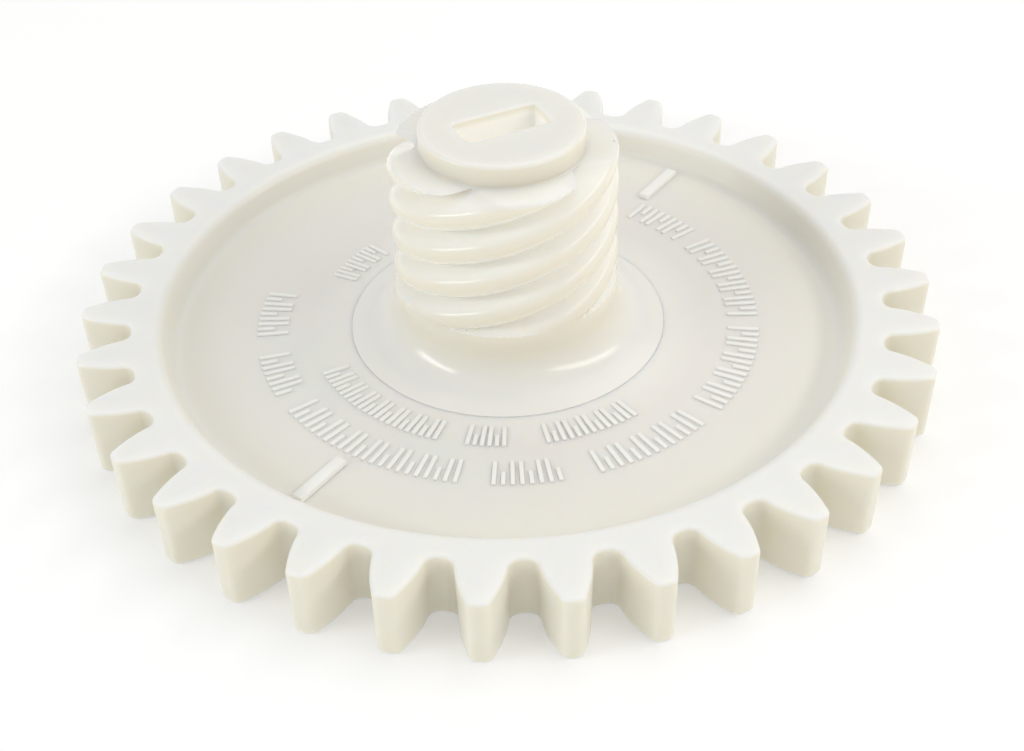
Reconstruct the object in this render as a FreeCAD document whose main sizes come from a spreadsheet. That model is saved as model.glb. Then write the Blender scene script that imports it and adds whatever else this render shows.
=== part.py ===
"""Compound gear: a 34-tooth spur wheel that carries a five-start worm with a slotted end.

The wheel is keyed on the worm spindle, between its flared foot and a clip. A plain sleeve sits in the spindle's blind
bore, behind a thrust washer and a retaining ring, and the gear turns on that sleeve.
+Z runs along the gear's axis and the origin is the axis at the underside of the rim.
"""
import FreeCAD, Part
import math
import os
import re

import Sketcher
from FreeCAD import Placement, Vector

OUTPUT_FOLDER = "parts"
FLANK_POINTS = 9      # points that each involute flank is drawn through
TOLERANCE = 1e-4      # smallest length and volume change that counts

# Driving dimensions, in millimetres and degrees: alias, value, meaning
DIMENSIONS = [
    ("module_size", 2.0, "module of the spur teeth"),
    ("tooth_count", 34, "spur teeth"),
    ("pressure_angle", 20.0, "pressure angle of the spur teeth"),
    ("dedendum_factor", 1.2, "dedendum over module"),
    ("tooth_share", 0.49, "tooth thickness over circular pitch, at the pitch circle"),
    ("root_fillet", 0.7, "fillet at the foot of each spur tooth"),
    ("tip_draft", 0.2, "how much smaller the tip radius is at the underside"),
    ("tooth_phase", 1.0, "angle of the first tooth's centre from +X"),
    ("mouth_factor", 1.4, "reach of a tooth gap's outline past the pitch circle, over module"),
    ("face_width", 6.2, "width of the toothed rim"),
    ("rim_inner_radius", 29.5, "where the rim's flat top face ends"),
    ("rim_wall_radius", 28.1, "foot of the rim's inner wall, at the web"),
    ("rim_under_radius", 28.6, "inner radius of the rim at the underside"),
    ("rim_shoulder", 1.0, "round of the rim's upper inner edge"),
    ("web_top", 3.8, "height of the web's upper face"),
    ("web_bottom", 1.8, "height of the web's lower face"),
    ("web_fillet", 0.8, "fillet between the web and the rim"),
    ("hub_radius", 11.5, "radius of the hub under the web"),
    ("hub_bottom", 1.3, "height of the hub's lower face"),
    ("bar_tooth", 5, "teeth from the first tooth to the one that the timing bar points at"),
    ("bar_inner_radius", 22.3, "inner end of a timing bar"),
    ("bar_outer_radius", 28.6, "outer end of a timing bar, inside the rim"),
    ("bar_width", 1.0, "width of a timing bar"),
    ("bar_rise", 0.45, "height of a timing bar above the web"),
    ("bar_sink", 0.1, "how far a timing bar is sunk into the web"),
    ("spigot_radius", 7.5, "radius of the spigot that the wheel sits on"),
    ("spigot_flat", 6.5, "distance from the axis to the spigot's two flats"),
    ("spigot_bottom", 0.3, "height of the spigot's lower end"),
    ("fit_gap", 0.02, "gap between the spigot and the wheel"),
    ("worm_starts", 5, "threads of the worm"),
    ("worm_module", 1.0, "axial module of the worm"),
    ("worm_tip_radius", 9.3, "outer radius of the worm"),
    ("worm_shoulder_radius", 8.8, "radius where a thread's crest begins to curve in"),
    ("worm_root_radius", 6.9, "radius at the bottom of the worm's grooves"),
    ("worm_crest_half", 0.95, "half the axial width of a thread at its shoulder"),
    ("worm_foot_half", 1.46, "half the axial width of a thread at the root"),
    ("worm_thread_height", 5.2, "height of one thread's centre over +X"),
    ("thread_sink", 0.5, "how deep a thread's section reaches into the core"),
    ("foot_radius", 9.36, "radius of the spindle between the worm and the flared foot"),
    ("foot_flare", 3.8, "fillet from there into the foot's flange"),
    ("flange_radius", 13.3, "outer radius of the flange that rests on the web"),
    ("flange_edge", 0.15, "thickness of the flange's outer edge"),
    ("worm_bottom", 8.6, "height where the grooves end above the foot"),
    ("worm_runout", 0.8, "height that the grooves take to run out into the foot"),
    ("worm_top", 20.9, "height of the worm's upper end"),
    ("worm_end_bevel", 0.5, "bevel on the worm's upper end"),
    ("collar_radius", 6.7, "radius of the plain end above the worm"),
    ("collar_top", 22.8, "height of the plain end's top face"),
    ("collar_edge_round", 0.35, "round of the plain end's top edge"),
    ("slot_length", 7.2, "length of the drive slot"),
    ("slot_width", 3.2, "width of the drive slot"),
    ("slot_depth", 6.0, "depth of the drive slot"),
    ("slot_angle", 24.0, "angle of the drive slot from +X"),
    ("bore_radius", 5.05, "radius of the spindle's blind bore"),
    ("bore_end", 15.2, "height of the blind bore's end"),
    ("sleeve_radius", 5.0, "outer radius of the bearing sleeve"),
    ("sleeve_bore_radius", 3.0, "inner radius of the bearing sleeve"),
    ("sleeve_bottom", 3.5, "height of the sleeve's lower end"),
    ("sleeve_top", 15.0, "height of the sleeve's upper end"),
    ("sleeve_chamfer", 0.4, "chamfer on the sleeve's four edges"),
    ("washer_bottom", 2.6, "height of the thrust washer's lower face"),
    ("washer_thickness", 0.8, "thickness of the thrust washer"),
    ("washer_radius", 4.85, "outer radius of the thrust washer"),
    ("washer_bore_radius", 3.2, "inner radius of the thrust washer"),
    ("inner_groove_bottom", 1.45, "height of the lower wall of the groove in the bore"),
    ("outer_groove_bottom", 0.45, "height of the lower wall of the groove round the spigot"),
    ("groove_width", 0.85, "width of both ring grooves"),
    ("ring_thickness", 0.8, "thickness of both retaining rings"),
    ("inner_groove_radius", 5.5, "radius of the groove in the bore"),
    ("outer_groove_radius", 6.3, "radius of the groove round the spigot"),
    ("ring_side_gap", 0.03, "gap between a ring and the bottom of its groove"),
    ("inner_ring_section", 1.2, "radial width of the inner retaining ring"),
    ("inner_ring_opening", 70.0, "angle of the inner ring's opening"),
    ("outer_ring_section", 2.0, "radial width of the outer retaining ring"),
    ("outer_ring_opening", 50.0, "angle of the outer ring's opening"),
    ("overrun", 1.0, "how far a cut or a hidden joint reaches past a face"),
    ("clear_radius", 14.0, "a radius well outside the worm"),
]

document = FreeCAD.newDocument("compound_worm_gear")
sheet = document.addObject("Spreadsheet::Sheet", "sheet")
ALIASES = {alias for alias, _, _ in DIMENSIONS}


def fill_sheet():
    """Write each driving dimension to its own row, with its alias and meaning."""
    for row, (alias, size, meaning) in enumerate(DIMENSIONS, start=1):
        sheet.set(f"A{row}", meaning)
        sheet.set(f"B{row}", str(size))
        sheet.setAlias(f"B{row}", alias)
    document.recompute()


def cells(formula):
    """The formula with each alias written as a cell of the sheet."""
    return re.sub(r"[a-z_]+", lambda word: f"sheet.{word[0]}" if word[0] in ALIASES else word[0], formula)


def value(formula):
    """The formula's value with the sheet's present dimensions."""
    return float(sheet.evalExpression(cells(formula)))


def new_body(label):
    """A body whose label names the file that it is written to."""
    body = document.addObject("PartDesign::Body", label)
    body.Label = label
    body.Placement = Placement()
    return body


def origin_feature(body, role):
    """One of the body's own origin planes or axes."""
    return [item for item in body.Origin.OriginFeatures if item.Role == role][0]


def new_sketch(body, name, plane, height="0"):
    """A sketch on one of the body's origin planes, raised along its normal by a formula."""
    sketch = body.newObject("Sketcher::SketchObject", name)
    sketch.AttachmentSupport = [(origin_feature(body, plane), "")]
    sketch.MapMode = "FlatFace"
    if height != "0":
        sketch.setExpression("AttachmentOffset.Base.z", cells(height))
    return sketch


def turn_sketch(sketch, angle):
    """Turn a horizontal sketch about +Z by a formula's angle in degrees."""
    sketch.setExpression("AttachmentOffset.Rotation.Angle", cells(angle))


def drive(sketch, kind, *where, by):
    """Add a dimension to the sketch and let the sheet drive it."""
    index = sketch.addConstraint(Sketcher.Constraint(kind, *where, value(by)))
    sketch.setExpression(f"Constraints[{index}]", cells(by))


def hold_corner(sketch, line, across, up):
    """Hold a line's first point where two formulas put it."""
    for kind, formula, axis in (("DistanceX", across, -2), ("DistanceY", up, -1)):
        if formula == "0":
            sketch.addConstraint(Sketcher.Constraint("PointOnObject", line, 1, axis))
        else:
            drive(sketch, kind, -1, 1, line, 1, by=formula)


def draw_outline(sketch, corners):
    """Closed outline through corners, each given as two formulas: across and up."""
    points = [Vector(value(across), value(up), 0) for across, up in corners]
    for number, point in enumerate(points):
        sketch.addGeometry(Part.LineSegment(point, points[(number + 1) % len(points)]), False)
    for number, (across, up) in enumerate(corners):
        following = (number + 1) % len(points)
        sketch.addConstraint(Sketcher.Constraint("Coincident", number, 2, following, 1))
        hold_corner(sketch, number, across, up)


def check_volume(body, before, grows, name):
    """Stop if a feature hasn't changed the body's volume the way that it should."""
    change = body.Shape.Volume - before
    if change * (1 if grows else -1) < TOLERANCE:
        raise RuntimeError(f"{name} changes the volume by {change:.4f}")


def turn_outline(body, kind, name, corners):
    """Revolution or Groove about +Z from an outline of (radius, height) corners."""
    before = body.Shape.Volume if body.Tip else 0.0
    sketch = new_sketch(body, f"{name}_outline", "XZ_Plane")
    draw_outline(sketch, corners)
    feature = body.newObject(kind, name)
    feature.Profile = sketch
    feature.ReferenceAxis = (sketch, ["V_Axis"])
    feature.Angle = 360
    document.recompute()
    check_volume(body, before, kind.endswith("Revolution"), name)


def extrude(body, kind, name, sketch, length, upwards):
    """Pad or Pocket of a horizontal sketch, by a formula's length, up or down."""
    before = body.Shape.Volume if body.Tip else 0.0
    feature = body.newObject(kind, name)
    feature.Profile = sketch
    feature.setExpression("Length", cells(length))
    feature.Reversed = upwards if kind.endswith("Pocket") else not upwards
    document.recompute()
    check_volume(body, before, kind.endswith("Pad"), name)
    return feature


def ring_edges(shape, rings):
    """Names of the shape's circular edges round +Z at the given (radius, height) formulas."""
    wanted = [(value(radius), value(height)) for radius, height in rings]
    names = []
    for number, edge in enumerate(shape.Edges, start=1):
        if not isinstance(edge.Curve, Part.Circle):
            continue
        place = edge.Curve.Center
        for radius, height in wanted:
            misses = (place.x, place.y, place.z - height, edge.Curve.Radius - radius)
            if max(abs(miss) for miss in misses) < TOLERANCE:
                names.append(f"Edge{number}")
    return names


def dress_edges(body, kind, name, rings, amount):
    """Fillet or Chamfer on ring edges, sized by a formula."""
    edges = ring_edges(body.Shape, rings)
    if len(edges) < len(rings):
        raise RuntimeError(f"{name} finds {len(edges)} of its {len(rings)} edges")
    base = body.Tip
    feature = body.newObject(kind, name)
    feature.Base = (base, edges)
    feature.setExpression("Radius" if kind.endswith("Fillet") else "Size", cells(amount))
    document.recompute()


def repeat_round(body, feature, name, count):
    """Repeat a feature evenly round +Z."""
    pattern = body.newObject("PartDesign::PolarPattern", name)
    pattern.Originals = [feature]
    pattern.Axis = (origin_feature(body, "Z_Axis"), [""])
    pattern.Angle = 360
    pattern.setExpression("Occurrences", cells(count))
    body.Tip = pattern
    document.recompute()


def polar(radius, angle):
    """Point at a radius and an angle in radians."""
    return Vector(radius * math.cos(angle), radius * math.sin(angle), 0)


def involute(angle):
    """Involute function of an angle in radians."""
    return math.tan(angle) - angle


def base_circle():
    """Radius of the spur teeth's base circle."""
    return value("module_size * tooth_count / 2") * math.cos(math.radians(value("pressure_angle")))


def gap_half_angle(radius):
    """Half the angle of a tooth gap at a radius on or above the base circle."""
    gap_at_pitch = math.pi * (1 - value("tooth_share")) / value("tooth_count")
    here = math.acos(min(1.0, base_circle() / radius))
    return gap_at_pitch - involute(math.radians(value("pressure_angle"))) + involute(here)


def draw_tooth_gap(sketch):
    """One gap between spur teeth, centred on +X: two involute flanks and a filleted root."""
    root_radius = value("module_size * (tooth_count / 2 - dedendum_factor)")
    mouth_radius = value("module_size * (tooth_count / 2 + mouth_factor)")
    fillet = value("root_fillet")
    flank_foot = base_circle()
    foot_angle = gap_half_angle(flank_foot)

    # The fillet touches the radial stretch below the base circle and the root circle
    fillet_orbit = root_radius + fillet
    lean = math.asin(fillet / fillet_orbit)
    upper_touch = min(fillet_orbit * math.cos(lean), flank_foot)
    lower_angle = foot_angle - lean
    step = (mouth_radius - flank_foot) / (FLANK_POINTS - 1)
    for side in (1, -1):
        radii = [flank_foot + step * number for number in range(FLANK_POINTS)]
        flank = Part.BSplineCurve()
        flank.interpolate([polar(radius, side * gap_half_angle(radius)) for radius in radii])
        sketch.addGeometry(flank, False)
        touch = polar(upper_touch, side * foot_angle)
        if flank_foot - upper_touch > TOLERANCE:
            sketch.addGeometry(Part.LineSegment(polar(flank_foot, side * foot_angle), touch), False)
        centre = polar(fillet_orbit, side * lower_angle)
        root_touch = polar(root_radius, side * lower_angle)
        towards_corner = (touch - centre) + (root_touch - centre)
        middle = centre + towards_corner * (fillet / towards_corner.Length)
        sketch.addGeometry(Part.Arc(touch, middle, root_touch), False)
    root_ends = [polar(root_radius, side * lower_angle) for side in (-1, 1)]
    sketch.addGeometry(Part.Arc(root_ends[0], polar(root_radius, 0), root_ends[1]), False)
    mouth_angle = gap_half_angle(mouth_radius)
    mouth_ends = [polar(mouth_radius, side * mouth_angle) for side in (-1, 1)]
    sketch.addGeometry(Part.LineSegment(*mouth_ends), False)
    for number in range(sketch.GeometryCount):
        sketch.addConstraint(Sketcher.Constraint("Block", number))


def draw_flatted_circle(sketch, radius, flat):
    """Circle with two flats, the outline that keys the wheel to the spindle."""
    turn = math.acos(value(flat) / value(radius))
    corners = [polar(value(radius), angle) for angle in (turn, math.pi - turn, math.pi + turn, -turn)]
    circle = Part.Circle(Vector(0, 0, 0), Vector(0, 0, 1), value(radius))
    rear = sketch.addGeometry(Part.ArcOfCircle(circle, turn, math.pi - turn), False)
    left = sketch.addGeometry(Part.LineSegment(corners[1], corners[2]), False)
    front = sketch.addGeometry(Part.ArcOfCircle(circle, math.pi + turn, 2 * math.pi - turn), False)
    right = sketch.addGeometry(Part.LineSegment(corners[3], corners[0]), False)
    loop = (rear, left, front, right)
    for number, piece in enumerate(loop):
        sketch.addConstraint(Sketcher.Constraint("Coincident", piece, 2, loop[(number + 1) % 4], 1))
    for arc in (rear, front):
        sketch.addConstraint(Sketcher.Constraint("Coincident", arc, 3, -1, 1))
    for line in (left, right):
        sketch.addConstraint(Sketcher.Constraint("Vertical", line))
    drive(sketch, "Radius", rear, by=radius)
    drive(sketch, "DistanceX", -1, 1, left, 1, by=f"0 - ({flat})")
    drive(sketch, "DistanceX", -1, 1, right, 1, by=flat)


def make_spur_wheel():
    """Toothed rim and thin web, keyed on the spindle by a bore with two flats."""
    body = new_body("spur_wheel")
    tip_radius = "module_size * (tooth_count / 2 + 1)"
    turn_outline(body, "PartDesign::Revolution", "wheel_blank", [
        (f"{tip_radius} - tip_draft", "0"),
        (tip_radius, "face_width"),
        ("rim_inner_radius", "face_width"),
        ("rim_wall_radius", "web_top"),
        ("spigot_flat - overrun", "web_top"),
        ("spigot_flat - overrun", "hub_bottom"),
        ("hub_radius", "hub_bottom"),
        ("hub_radius", "web_bottom"),
        ("rim_under_radius", "web_bottom"),
        ("rim_under_radius", "0"),
    ])
    web_rings = [("rim_wall_radius", "web_top"), ("rim_under_radius", "web_bottom")]
    fillets = [
        ("rim_shoulder_fillet", [("rim_inner_radius", "face_width")], "rim_shoulder"),
        ("web_edge_fillet", web_rings, "web_fillet"),
    ]
    for name, rings, radius in fillets:
        dress_edges(body, "PartDesign::Fillet", name, rings, radius)

    bore_outline = new_sketch(body, "wheel_bore_outline", "XY_Plane", "hub_bottom - overrun")
    draw_flatted_circle(bore_outline, "spigot_radius + fit_gap", "spigot_flat + fit_gap")
    bore_length = "web_top - hub_bottom + 2 * overrun"
    extrude(body, "PartDesign::Pocket", "wheel_bore", bore_outline, bore_length, upwards=True)

    bar_outline = new_sketch(body, "timing_bar_outline", "XY_Plane", "web_top - bar_sink")
    draw_outline(bar_outline, [
        ("bar_inner_radius", "0 - bar_width / 2"),
        ("bar_outer_radius", "0 - bar_width / 2"),
        ("bar_outer_radius", "bar_width / 2"),
        ("bar_inner_radius", "bar_width / 2"),
    ])
    turn_sketch(bar_outline, "tooth_phase + bar_tooth * 360 / tooth_count")
    bar = extrude(body, "PartDesign::Pad", "timing_bar", bar_outline, "bar_rise + bar_sink", upwards=True)
    repeat_round(body, bar, "timing_bars", "2")

    gap_outline = new_sketch(body, "tooth_gap_outline", "XY_Plane", "0 - overrun")
    draw_tooth_gap(gap_outline)
    turn_sketch(gap_outline, "tooth_phase + 180 / tooth_count")
    gap_length = "face_width + 2 * overrun"
    gap = extrude(body, "PartDesign::Pocket", "tooth_gap", gap_outline, gap_length, upwards=True)
    repeat_round(body, gap, "tooth_gaps", "tooth_count")
    return body


def draw_thread(sketch):
    """Axial section of one worm thread at +X: straight flanks under a round crest."""
    buried = "worm_root_radius - thread_sink"
    centre = "worm_thread_height"
    corners = [
        (buried, f"{centre} + worm_foot_half"),
        (buried, f"{centre} - worm_foot_half"),
        ("worm_root_radius", f"{centre} - worm_foot_half"),
        ("worm_shoulder_radius", f"{centre} - worm_crest_half"),
        ("worm_shoulder_radius", f"{centre} + worm_crest_half"),
        ("worm_root_radius", f"{centre} + worm_foot_half"),
    ]
    crest_side = corners.index(("worm_shoulder_radius", f"{centre} - worm_crest_half"))
    crest = Vector(value("worm_tip_radius"), value(centre), 0)
    points = [Vector(value(across), value(up), 0) for across, up in corners]
    for number, point in enumerate(points):
        following = points[(number + 1) % len(points)]
        if number == crest_side:
            sketch.addGeometry(Part.Arc(point, crest, following), False)
        else:
            sketch.addGeometry(Part.LineSegment(point, following), False)
    for number, (across, up) in enumerate(corners):
        hold_corner(sketch, number, across, up)
        sketch.addConstraint(Sketcher.Constraint("Coincident", number, 2, (number + 1) % len(points), 1))
    rise = "(worm_tip_radius - worm_shoulder_radius)"
    crest_radius = f"(worm_crest_half * worm_crest_half + {rise} * {rise}) / (2 * {rise})"
    drive(sketch, "Radius", crest_side, by=crest_radius)


def make_worm_spindle():
    """Five-start right-handed worm with a slotted end, a flared foot, a spigot and a blind bore."""
    body = new_body("worm_spindle")
    turn_outline(body, "PartDesign::Revolution", "worm_core", [
        ("0", "web_top"),
        ("worm_root_radius", "web_top"),
        ("worm_root_radius", "worm_top + overrun"),
        ("0", "worm_top + overrun"),
    ])

    thread_section = new_sketch(body, "thread_section", "XZ_Plane")
    draw_thread(thread_section)
    thread = body.newObject("PartDesign::AdditiveHelix", "thread")
    thread.Profile = thread_section
    thread.ReferenceAxis = (thread_section, ["V_Axis"])
    thread.Mode = "pitch-height-angle"
    thread.setExpression("Pitch", cells("worm_starts * worm_module * pi"))
    thread.setExpression("Height", cells("worm_top - worm_thread_height + worm_foot_half + overrun"))
    document.recompute()
    repeat_round(body, thread, "threads", "worm_starts")

    above_threads = "worm_top + 2 * (worm_foot_half + overrun)"
    below_threads = "worm_thread_height - worm_foot_half - overrun"
    turn_outline(body, "PartDesign::Groove", "thread_top_trim", [
        ("0", "worm_top"),
        ("worm_tip_radius - worm_end_bevel", "worm_top"),
        ("clear_radius", "worm_top - worm_end_bevel - (clear_radius - worm_tip_radius)"),
        ("clear_radius", above_threads),
        ("0", above_threads),
    ])
    turn_outline(body, "PartDesign::Groove", "thread_foot_trim", [
        ("0", "web_top"),
        ("clear_radius", "web_top"),
        ("clear_radius", below_threads),
        ("0", below_threads),
    ])
    turn_outline(body, "PartDesign::Revolution", "upper_collar", [
        ("0", "worm_top - overrun"),
        ("collar_radius", "worm_top - overrun"),
        ("collar_radius", "collar_top"),
        ("0", "collar_top"),
    ])
    collar_edge = [("collar_radius", "collar_top")]
    dress_edges(body, "PartDesign::Fillet", "collar_edge", collar_edge, "collar_edge_round")
    flange_top = "web_top + flange_edge"
    turn_outline(body, "PartDesign::Revolution", "flared_foot", [
        ("worm_root_radius - overrun", "web_top"),
        ("flange_radius", "web_top"),
        ("flange_radius", flange_top),
        ("foot_radius", flange_top),
        ("foot_radius", "worm_bottom"),
        ("worm_root_radius - overrun", "worm_bottom + worm_runout"),
    ])
    foot_ring = [("foot_radius", flange_top)]
    dress_edges(body, "PartDesign::Fillet", "foot_flare_fillet", foot_ring, "foot_flare")

    spigot_outline = new_sketch(body, "spigot_outline", "XY_Plane", "spigot_bottom")
    draw_flatted_circle(spigot_outline, "spigot_radius", "spigot_flat")
    extrude(body, "PartDesign::Pad", "spigot", spigot_outline, "web_top - spigot_bottom", upwards=True)
    turn_outline(body, "PartDesign::Groove", "blind_bore", [
        ("0", "spigot_bottom - overrun"),
        ("bore_radius", "spigot_bottom - overrun"),
        ("bore_radius", "bore_end"),
        ("0", "bore_end"),
    ])
    turn_outline(body, "PartDesign::Groove", "inner_ring_groove", [
        ("bore_radius - overrun", "inner_groove_bottom"),
        ("inner_groove_radius", "inner_groove_bottom"),
        ("inner_groove_radius", "inner_groove_bottom + groove_width"),
        ("bore_radius - overrun", "inner_groove_bottom + groove_width"),
    ])
    turn_outline(body, "PartDesign::Groove", "outer_ring_groove", [
        ("outer_groove_radius", "outer_groove_bottom"),
        ("spigot_radius + overrun", "outer_groove_bottom"),
        ("spigot_radius + overrun", "outer_groove_bottom + groove_width"),
        ("outer_groove_radius", "outer_groove_bottom + groove_width"),
    ])

    slot_outline = new_sketch(body, "slot_outline", "XY_Plane", "collar_top + overrun")
    draw_outline(slot_outline, [
        ("0 - slot_length / 2", "0 - slot_width / 2"),
        ("slot_length / 2", "0 - slot_width / 2"),
        ("slot_length / 2", "slot_width / 2"),
        ("0 - slot_length / 2", "slot_width / 2"),
    ])
    turn_sketch(slot_outline, "slot_angle")
    extrude(body, "PartDesign::Pocket", "drive_slot", slot_outline, "slot_depth + overrun", upwards=False)
    return body


def make_tube(label, inner, outer, bottom, top):
    """Plain tube about +Z."""
    body = new_body(label)
    turn_outline(body, "PartDesign::Revolution", f"{label}_tube", [
        (inner, bottom),
        (outer, bottom),
        (outer, top),
        (inner, top),
    ])
    return body


def make_bearing_sleeve():
    """Plain bearing sleeve with chamfered ends, a running fit in the spindle's bore."""
    body = make_tube("bearing_sleeve", "sleeve_bore_radius", "sleeve_radius", "sleeve_bottom", "sleeve_top")
    rings = [
        (radius, height)
        for radius in ("sleeve_bore_radius", "sleeve_radius")
        for height in ("sleeve_bottom", "sleeve_top")
    ]
    dress_edges(body, "PartDesign::Chamfer", "sleeve_chamfers", rings, "sleeve_chamfer")
    return body


def make_thrust_washer():
    """Flat washer between the sleeve's lower end and the inner retaining ring."""
    top = "washer_bottom + washer_thickness"
    return make_tube("thrust_washer", "washer_bore_radius", "washer_radius", "washer_bottom", top)


def make_retaining_ring(label, inner, outer, groove_bottom, opening):
    """Open flat ring in its groove, with the opening towards -X."""
    bottom = f"{groove_bottom} + ring_side_gap / 2"
    body = make_tube(label, inner, outer, bottom, f"{bottom} + ring_thickness")
    mouth = new_sketch(body, f"{label}_mouth", "XY_Plane", "0 - overrun")
    reach = f"({outer} + overrun)"
    spread = f"{reach} * tan({opening} / 2)"
    draw_outline(mouth, [
        ("0", "0"),
        (f"0 - {reach}", spread),
        (f"0 - {reach}", f"0 - {spread}"),
    ])
    mouth_length = f"{groove_bottom} + groove_width + 2 * overrun"
    extrude(body, "PartDesign::Pocket", f"{label}_opening", mouth, mouth_length, upwards=True)
    return body


def make_parts():
    """Every sub-part, in the order in which they are assembled."""
    inner_ring = ("inner_groove_radius - ring_side_gap - inner_ring_section",
                  "inner_groove_radius - ring_side_gap", "inner_groove_bottom", "inner_ring_opening")
    outer_ring = ("outer_groove_radius + ring_side_gap",
                  "outer_groove_radius + ring_side_gap + outer_ring_section",
                  "outer_groove_bottom", "outer_ring_opening")
    return [
        make_worm_spindle(),
        make_spur_wheel(),
        make_retaining_ring("spindle_clip", *outer_ring),
        make_bearing_sleeve(),
        make_thrust_washer(),
        make_retaining_ring("bore_retaining_ring", *inner_ring),
    ]


def check_document(bodies):
    """Stop if any object has failed or any sub-part isn't one valid solid."""
    for item in document.Objects:
        if "Invalid" in item.State or "Error" in item.State:
            raise RuntimeError(f"{item.Label} is {item.State}")
    for body in bodies:
        shape = body.Shape
        if shape.isNull() or not shape.isValid() or len(shape.Solids) != 1:
            raise RuntimeError(f"{body.Label} isn't one valid solid")


def write_parts(bodies):
    """Write each sub-part to a STEP file named by its label."""
    os.makedirs(OUTPUT_FOLDER, exist_ok=True)
    for body in bodies:
        body.Shape.exportStep(os.path.join(OUTPUT_FOLDER, f"{body.Label}.step"))
        box = body.Shape.BoundBox
        print(f"{body.Label}: {body.Shape.Volume:.1f} mm3, z {box.ZMin:.2f} to {box.ZMax:.2f}")


fill_sheet()
parts = make_parts()
document.recompute()
check_document(parts)
write_parts(parts)
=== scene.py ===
"""Looks of the compound gear: moulded nylon wheel and worm spindle, bronze sleeve, steel rings."""

import math

import bmesh
import bpy
import numpy as np
from mathutils import Euler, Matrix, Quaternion, Vector


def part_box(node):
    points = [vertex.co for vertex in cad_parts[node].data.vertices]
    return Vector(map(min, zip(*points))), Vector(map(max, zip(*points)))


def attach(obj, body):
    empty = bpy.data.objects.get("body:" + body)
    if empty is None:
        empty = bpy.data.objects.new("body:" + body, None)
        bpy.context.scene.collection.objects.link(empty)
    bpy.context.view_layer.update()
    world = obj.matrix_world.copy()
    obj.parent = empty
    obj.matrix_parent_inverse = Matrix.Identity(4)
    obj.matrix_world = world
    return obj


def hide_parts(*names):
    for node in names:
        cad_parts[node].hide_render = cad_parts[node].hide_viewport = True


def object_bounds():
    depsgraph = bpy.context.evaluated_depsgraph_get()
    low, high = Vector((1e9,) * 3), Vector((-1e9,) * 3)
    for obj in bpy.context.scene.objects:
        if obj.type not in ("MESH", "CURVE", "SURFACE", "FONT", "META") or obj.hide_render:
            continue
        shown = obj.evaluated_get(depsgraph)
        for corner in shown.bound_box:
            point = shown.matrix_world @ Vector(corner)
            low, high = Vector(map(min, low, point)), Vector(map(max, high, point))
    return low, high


MM = 0.001

# Closest two points of a mesh may lie, and the shortest edge it may have, in metres
MERGE_DISTANCE = 2e-7
SHORTEST_EDGE = 1e-8

# Spur teeth, in millimetres and degrees
MODULE = 2.0
TOOTH_COUNT = 34
PRESSURE_ANGLE = 20.0
DEDENDUM = 1.2
TOOTH_SHARE = 0.49
FACE_WIDTH = 6.2
TIP_RADIUS = MODULE * (TOOTH_COUNT / 2 + 1)
ROOT_FILLET = 0.9
FLANK_CLEARANCE = 0.15
TIP_CORNER = 0.5
CORNER_REACH = TIP_CORNER * 0.8
CORNER_SHARES = (0.33, 0.67, 1.0)
TIP_DRAFT = 0.2
ROOT_DRAFT = 0.45
FLANK_DRAFT = 0.12
TOOTH_PHASE = 1.0
EDGE_ROUND = 0.34
EDGE_STEPS = 4
FILLET_STEPS = 5
FLANK_STEPS = 6

# Worm threads
STARTS = 5
AXIAL_PITCH = math.pi
LEAD = STARTS * AXIAL_PITCH
CREST_HALF = 0.95
FOOT_HALF = 1.46
WORM_RADIUS = 9.3
SHOULDER_RADIUS = 8.8
ROOT_RADIUS = 6.9
THREAD_HEIGHT = 5.2
WORM_BOTTOM = 8.6
WORM_START = WORM_BOTTOM - 0.1
FOOT_TOP = WORM_START - 0.2
WORM_TOP = 20.9
WORM_FADE = 0.9
WORM_TOP_ROUND = 0.5
GRID_MARGIN = 1.4

# Section of the wheel's rim, and the rings of points on both faces of the web
RIM_SHOULDER = 30.75
RIM_FLAT_INNER = 30.3
RIM_INNER = 29.5
RIM_EDGE = 1.1
RIM_EDGE_OFFSET = 0.45
RIM_EDGE_SWEEP = 155
RIM_WALL = 28.1
WALL_FOOT = 1.0
WALL_FOOT_OFFSET = 0.55
WALL_LEAN = 25
RIM_UNDER = 28.6
RIM_UNDER_FILLET = 0.7
RIM_UNDER_EDGE = 0.3
RIM_UNDER_FLAT = 30.4
WEB_RINGS = 16
WEB_RING_OUTER = RIM_WALL - 1.5
UNDER_WEB_RINGS = 8
UNDER_WEB_SHARES = (0.08, 0.92)

# How far the rings on the wheel's faces are evened out from the teeth's own spacing
EVENING = 0.3
EVENING_STEP = 0.06

# Web and hub of the wheel, and the spindle's flared foot on the web
WEB_TOP = 3.8
WEB_BOTTOM = 1.8
FOOT_RADIUS = 9.36
FOOT_FLARE = 3.8
FLANGE_RADIUS = 13.3
FLANGE_EDGE = 0.15
FLANGE_LIP = 0.02
FLARE_END = 255
HUB_RADIUS = 11.5
HUB_BOTTOM = 1.3
HUB_EDGE = 0.3
HUB_EDGE_RISE = 0.15
HUB_FILLET = 0.35
KEY_PLAY = 0.02

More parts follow.
